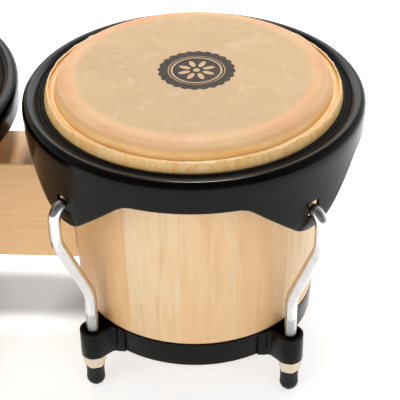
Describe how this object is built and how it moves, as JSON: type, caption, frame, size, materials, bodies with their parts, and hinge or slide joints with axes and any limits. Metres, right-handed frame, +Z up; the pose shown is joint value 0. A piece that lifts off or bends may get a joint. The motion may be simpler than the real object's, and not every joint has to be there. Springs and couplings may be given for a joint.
{
  "type": "bongo drums",
  "caption": "Pair of hand drums on a wooden centre block: stave shells, rawhide heads, black curved rims and hooked rods on rubber feet.",
  "frame": {"origin": "on the floor, under the middle of the pair's bounding box", "axes": "+X from the larger drum (hembra) to the smaller drum (macho), +Z up, y = 0 the mirror plane through both drum axes; the side seen in the picture faces -Y"},
  "size_m": [0.472, 0.2494, 0.205],
  "materials": {
    "stave_wood": "satin clear lacquer over pale hardwood staves",
    "block_wood": "satin clear lacquer over a block of the same pale hardwood",
    "rawhide": "natural rawhide, translucent amber where it is lapped",
    "black_enamel": "black satin powder coat on pressed steel",
    "chrome": "bright chrome plate",
    "zinc_plate": "pale yellow zinc plate",
    "black_rubber": "moulded matte rubber",
    "plain_steel": "plain zinc-plated steel"
  },
  "bodies": {
    "frame": {"macho_shell": "stave_wood", "macho_bottom_ring": "black_enamel", "macho_head_skin": "rawhide", "hembra_shell": "stave_wood", "hembra_bottom_ring": "black_enamel", "hembra_head_skin": "rawhide", "centre_block": "block_wood", "block_bolt_upper": "plain_steel", "block_washer_macho_upper": "plain_steel", "block_nut_macho_upper": "plain_steel", "block_washer_hembra_upper": "plain_steel", "block_nut_hembra_upper": "plain_steel", "block_bolt_lower": "plain_steel", "block_washer_macho_lower": "plain_steel", "block_nut_macho_lower": "plain_steel", "block_washer_hembra_lower": "plain_steel", "block_nut_hembra_lower": "plain_steel"},
    "macho_tuning_gear": {"macho_rim": "black_enamel", "macho_flesh_hoop": "plain_steel", "macho_tuning_rod_1": "chrome", "macho_tuning_rod_2": "chrome", "macho_tuning_rod_3": "chrome", "macho_tuning_rod_4": "chrome", "macho_rubber_cap_1": "black_rubber", "macho_rubber_cap_2": "black_rubber", "macho_rubber_cap_3": "black_rubber", "macho_rubber_cap_4": "black_rubber"},
    "macho_nut_1_body": {"macho_nut_1": "zinc_plate"},
    "macho_nut_2_body": {"macho_nut_2": "zinc_plate"},
    "macho_nut_3_body": {"macho_nut_3": "zinc_plate"},
    "macho_nut_4_body": {"macho_nut_4": "zinc_plate"},
    "hembra_tuning_gear": {"hembra_rim": "black_enamel", "hembra_flesh_hoop": "plain_steel", "hembra_tuning_rod_1": "chrome", "hembra_tuning_rod_2": "chrome", "hembra_tuning_rod_3": "chrome", "hembra_tuning_rod_4": "chrome", "hembra_rubber_cap_1": "black_rubber", "hembra_rubber_cap_2": "black_rubber", "hembra_rubber_cap_3": "black_rubber", "hembra_rubber_cap_4": "black_rubber"},
    "hembra_nut_1_body": {"hembra_nut_1": "zinc_plate"},
    "hembra_nut_2_body": {"hembra_nut_2": "zinc_plate"},
    "hembra_nut_3_body": {"hembra_nut_3": "zinc_plate"},
    "hembra_nut_4_body": {"hembra_nut_4": "zinc_plate"}
  },
  "joints": [
    {"name": "macho_tuning", "type": "slide", "parent": "frame", "child": "macho_tuning_gear", "axis": [0, 0, 1], "range_m": [-0.006, 0], "deforming": ["macho_head_skin"]},
    {"name": "macho_nut_1_turn", "type": "hinge", "parent": "frame", "child": "macho_nut_1_body", "pos_m": [0.19192, 0.06472, 0.022], "axis": [0, 0, 1], "range_deg": [0, 2041]},
    {"name": "macho_nut_2_turn", "type": "hinge", "parent": "frame", "child": "macho_nut_2_body", "pos_m": [0.06248, 0.06472, 0.022], "axis": [0, 0, 1], "range_deg": [0, 2041]},
    {"name": "macho_nut_3_turn", "type": "hinge", "parent": "frame", "child": "macho_nut_3_body", "pos_m": [0.06248, -0.06472, 0.022], "axis": [0, 0, 1], "range_deg": [0, 2041]},
    {"name": "macho_nut_4_turn", "type": "hinge", "parent": "frame", "child": "macho_nut_4_body", "pos_m": [0.19192, -0.06472, 0.022], "axis": [0, 0, 1], "range_deg": [0, 2041]},
    {"name": "hembra_tuning", "type": "slide", "parent": "frame", "child": "hembra_tuning_gear", "axis": [0, 0, 1], "range_m": [-0.006, 0], "deforming": ["hembra_head_skin"]},
    {"name": "hembra_nut_1_turn", "type": "hinge", "parent": "frame", "child": "hembra_nut_1_body", "pos_m": [-0.03536, 0.07594, 0.022], "axis": [0, 0, 1], "range_deg": [0, 2041]},
    {"name": "hembra_nut_2_turn", "type": "hinge", "parent": "frame", "child": "hembra_nut_2_body", "pos_m": [-0.18724, 0.07594, 0.022], "axis": [0, 0, 1], "range_deg": [0, 2041]},
    {"name": "hembra_nut_3_turn", "type": "hinge", "parent": "frame", "child": "hembra_nut_3_body", "pos_m": [-0.18724, -0.07594, 0.022], "axis": [0, 0, 1], "range_deg": [0, 2041]},
    {"name": "hembra_nut_4_turn", "type": "hinge", "parent": "frame", "child": "hembra_nut_4_body", "pos_m": [-0.03536, -0.07594, 0.022], "axis": [0, 0, 1], "range_deg": [0, 2041]}
  ],
  "couplings": [
    {"joint": "macho_nut_1_turn", "follows": "macho_tuning", "rad_per_m": -5936.9},
    {"joint": "macho_nut_2_turn", "follows": "macho_tuning", "rad_per_m": -5936.9},
    {"joint": "macho_nut_3_turn", "follows": "macho_tuning", "rad_per_m": -5936.9},
    {"joint": "macho_nut_4_turn", "follows": "macho_tuning", "rad_per_m": -5936.9},
    {"joint": "hembra_nut_1_turn", "follows": "hembra_tuning", "rad_per_m": -5936.9},
    {"joint": "hembra_nut_2_turn", "follows": "hembra_tuning", "rad_per_m": -5936.9},
    {"joint": "hembra_nut_3_turn", "follows": "hembra_tuning", "rad_per_m": -5936.9},
    {"joint": "hembra_nut_4_turn", "follows": "hembra_tuning", "rad_per_m": -5936.9}
  ]
}
